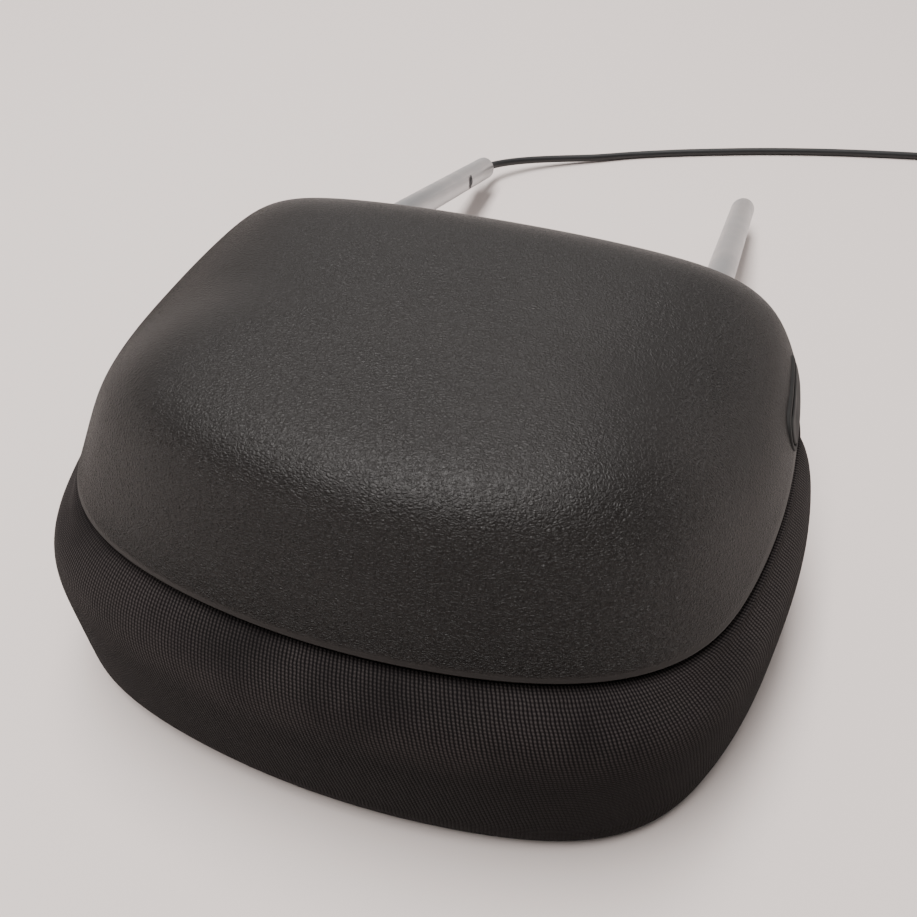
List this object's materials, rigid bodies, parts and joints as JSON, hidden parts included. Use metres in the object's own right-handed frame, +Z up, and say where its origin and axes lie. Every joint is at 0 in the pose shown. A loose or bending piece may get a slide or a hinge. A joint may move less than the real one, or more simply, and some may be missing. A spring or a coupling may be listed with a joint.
{
  "type": "vehicle seat head restraint",
  "caption": "Head restraint with a moulded rear shell, a padded fabric front that slides fore and aft, a side release button, two round steel posts and a lead.",
  "frame": {"origin": "on the plane the cushion face rests on, below the middle of the head's width and depth", "axes": "+Z up from the cushion's resting face to the rear shell, +Y towards the free ends of the posts, +X across the head to the side with the button"},
  "size_m": [0.36, 0.4957, 0.1055],
  "materials": {
    "shell_plastic": "fine leather-like pebble grain, soft sheen",
    "knit_fabric": "fine ribbed knit, matt with a little fuzz",
    "button_plastic": "smooth, semi-gloss",
    "post_steel": "satin chrome over steel",
    "zinc_steel": "zinc-plated steel",
    "moulded_plastic": "plain moulded black plastic",
    "white_nylon": "natural nylon",
    "cable_sheath": "smooth matt sheath",
    "rubber_seal": "matt rubber",
    "connector_plastic": "moulded plastic",
    "brass_contact": "plain",
    "foam": "open-cell foam"
  },
  "bodies": {
    "frame": {"rear_shell": "shell_plastic", "button_bezel": "button_plastic", "button_spring": "zinc_steel", "pawl_pin": "post_steel", "pawl_spring": "zinc_steel", "left_post": "post_steel", "right_post": "post_steel", "cross_tube": "post_steel", "base_plate": "moulded_plastic", "plate_screw_1": "zinc_steel", "plate_screw_2": "zinc_steel", "plate_screw_3": "zinc_steel", "plate_screw_4": "zinc_steel", "post_collar_left": "moulded_plastic", "post_collar_right": "moulded_plastic", "post_clamp_left": "zinc_steel", "post_clamp_right": "zinc_steel", "clamp_screw_left_1": "zinc_steel", "clamp_screw_left_2": "zinc_steel", "clamp_screw_right_1": "zinc_steel", "clamp_screw_right_2": "zinc_steel", "guide_bush_left": "white_nylon", "guide_bush_right": "white_nylon", "release_actuator": "connector_plastic", "inner_lead": "cable_sheath", "cable_grommet": "rubber_seal", "cable_lead": "cable_sheath", "cable_coil": "cable_sheath", "cable_tail": "cable_sheath", "connector_housing": "connector_plastic", "connector_clip": "connector_plastic", "terminal_1": "brass_contact", "terminal_2": "brass_contact"},
    "cushion": {"cushion_carrier": "moulded_plastic", "foam_pad": "foam", "cushion_cover": "knit_fabric", "ratchet_rack": "white_nylon", "guide_rod_left": "post_steel", "guide_rod_right": "post_steel", "rod_clip_left": "zinc_steel", "rod_clip_right": "zinc_steel"},
    "button": {"side_button": "button_plastic", "push_rod": "zinc_steel"},
    "pawl": {"lock_pawl": "zinc_steel"}
  },
  "joints": [
    {"name": "cushion_slide", "type": "slide", "parent": "frame", "child": "cushion", "axis": [0, 0, -1], "range_m": [0, 0.022]},
    {"name": "button_press", "type": "slide", "parent": "frame", "child": "button", "axis": [-1, 0, 0], "range_m": [0, 0.003], "stiffness_N_per_m": 800, "springref_m": -0.002, "deforming": ["button_spring"]},
    {"name": "pawl_pivot", "type": "hinge", "parent": "frame", "child": "pawl", "pos_m": [0.03, 0.037, 0.078], "axis": [0, 1, 0], "range_deg": [0, 25]}
  ],
  "couplings": [
    {"joint": "pawl_pivot", "follows": "button_press", "rad_per_m": 143}
  ]
}
